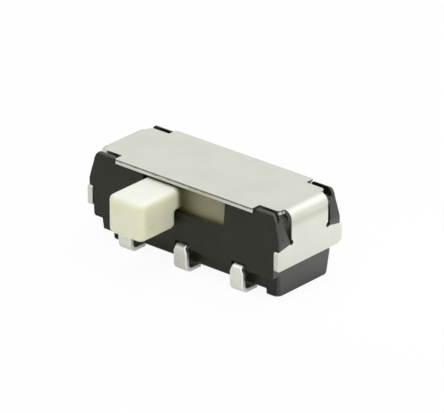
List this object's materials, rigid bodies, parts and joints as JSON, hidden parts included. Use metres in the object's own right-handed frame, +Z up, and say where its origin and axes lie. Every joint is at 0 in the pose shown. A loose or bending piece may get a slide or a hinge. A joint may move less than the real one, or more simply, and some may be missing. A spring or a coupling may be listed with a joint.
{
  "type": "slide switch",
  "caption": "Small board-mounted slide switch: a black moulded housing under a clipped sheet-metal cover, with a pale side knob that slides along its front and J-shaped leads underneath.",
  "frame": {"origin": "middle of the lead footprint, on the board plane under the lead feet", "axes": "+X along the knob's travel, -Y out of the front where the knob stands out, +Z up from the board"},
  "size_m": [0.0086, 0.0053, 0.0032],
  "materials": {
    "black_moulding": "fine matt",
    "plated_sheet": "satin plated",
    "pale_moulding": "smooth, slightly translucent",
    "tinned_strip": "bright tin plate",
    "contact_strip": "bright plated spring strip"
  },
  "bodies": {
    "case": {"housing": "black_moulding", "cover": "plated_sheet", "front_left_lead": "tinned_strip", "front_common_lead": "tinned_strip", "front_right_lead": "tinned_strip", "rear_left_lead": "tinned_strip", "rear_common_lead": "tinned_strip", "rear_right_lead": "tinned_strip"},
    "slide": {"slider": "pale_moulding", "front_contact_clip": "contact_strip", "rear_contact_clip": "contact_strip"}
  },
  "joints": [
    {"name": "slider_travel", "type": "slide", "parent": "case", "child": "slide", "axis": [1, 0, 0], "range_m": [0, 0.0019]}
  ]
}
